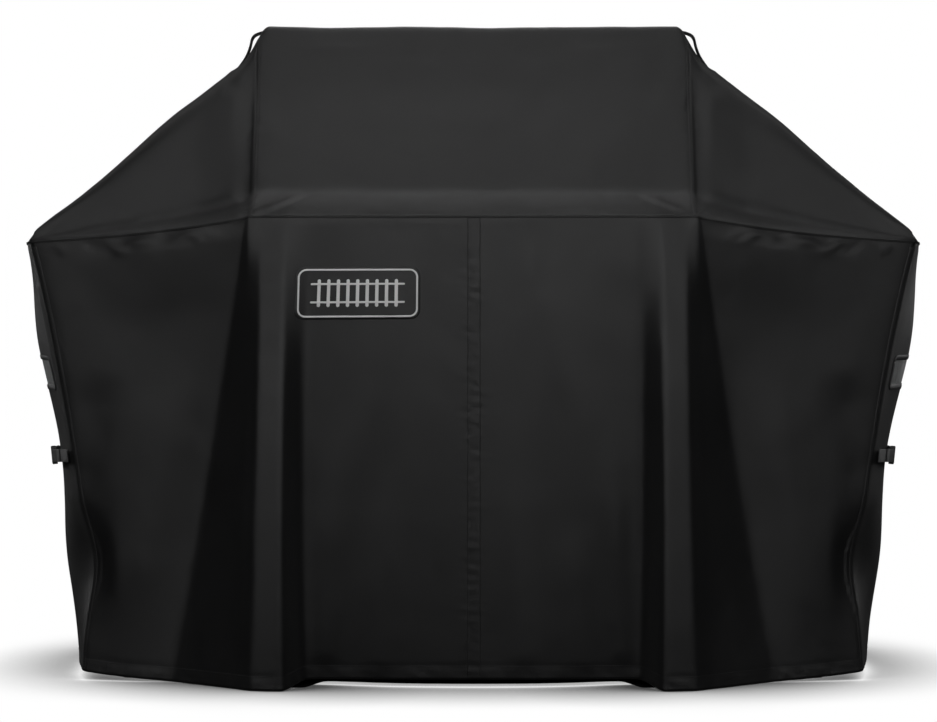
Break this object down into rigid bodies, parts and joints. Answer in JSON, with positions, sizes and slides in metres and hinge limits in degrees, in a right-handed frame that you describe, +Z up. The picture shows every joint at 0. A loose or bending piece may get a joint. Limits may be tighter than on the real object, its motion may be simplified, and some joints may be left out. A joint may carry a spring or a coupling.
{
  "type": "grill cover",
  "caption": "Fitted black fabric cover for a large grill, with a raised lid hood, sloping shelf wings, mesh side vents, buckled side straps and hanging loops.",
  "frame": {"origin": "middle of the hem plane, under the middle of the cover", "axes": "+X to the right seen from the front, -Y out of the front, +Z up"},
  "size_m": [1.7, 0.6322, 1.262],
  "materials": {
    "cover_cloth": "coated woven polyester, satin",
    "hem_cloth": "coated woven polyester, turned hem",
    "seam_tape": "felled seam band",
    "vent_mesh": "open grey polyester mesh",
    "vent_binding": "sewn binding tape",
    "webbing": "ribbed polypropylene webbing",
    "buckle_plastic": "moulded acetal, fine texture",
    "badge_patch": "coated patch with pale printed line art"
  },
  "bodies": {
    "cover": {"hood_roof_panel": "cover_cloth", "hood_front_panel": "cover_cloth", "hood_back_panel": "cover_cloth", "wing_left": "cover_cloth", "wing_right": "cover_cloth", "front_skirt_left": "cover_cloth", "front_skirt_right": "cover_cloth", "side_skirt_left": "cover_cloth", "side_skirt_right": "cover_cloth", "back_skirt_left": "cover_cloth", "back_skirt_right": "cover_cloth", "hem_front_left": "hem_cloth", "hem_front_right": "hem_cloth", "hem_side_left": "hem_cloth", "hem_side_right": "hem_cloth", "hem_back_left": "hem_cloth", "hem_back_right": "hem_cloth", "front_seam_tape": "seam_tape", "back_seam_tape": "seam_tape", "vent_mesh_left": "vent_mesh", "vent_mesh_right": "vent_mesh", "vent_binding_left": "vent_binding", "vent_binding_right": "vent_binding", "hanging_loop_left": "webbing", "hanging_loop_right": "webbing", "strap_front_left": "webbing", "strap_front_right": "webbing", "strap_rear_left": "webbing", "strap_rear_right": "webbing", "buckle_socket_left": "buckle_plastic", "buckle_socket_right": "buckle_plastic", "front_badge": "badge_patch"},
    "plug_left": {"buckle_plug_left": "buckle_plastic", "buckle_prongs_left": "buckle_plastic"},
    "tail_left": {"strap_tail_left": "webbing"},
    "plug_right": {"buckle_plug_right": "buckle_plastic", "buckle_prongs_right": "buckle_plastic"},
    "tail_right": {"strap_tail_right": "webbing"}
  },
  "joints": [
    {"name": "buckle_left_release", "type": "slide", "parent": "cover", "child": "plug_left", "axis": [-0.2148, 0.9766, 0], "range_m": [0, 0.045], "deforming": ["buckle_prongs_left", "strap_rear_left"]},
    {"name": "strap_tail_left_fold", "type": "hinge", "parent": "plug_left", "child": "tail_left", "pos_m": [-0.82746, -0.07814, 0.42603], "axis": [-0.0908, -0.02, 0.9957], "range_deg": [0, 140]},
    {"name": "buckle_right_release", "type": "slide", "parent": "cover", "child": "plug_right", "axis": [0.2148, 0.9766, 0], "range_m": [0, 0.045], "deforming": ["buckle_prongs_right", "strap_rear_right"]},
    {"name": "strap_tail_right_fold", "type": "hinge", "parent": "plug_right", "child": "tail_right", "pos_m": [0.82746, -0.07814, 0.42603], "axis": [-0.0908, 0.02, -0.9957], "range_deg": [0, 140]}
  ]
}
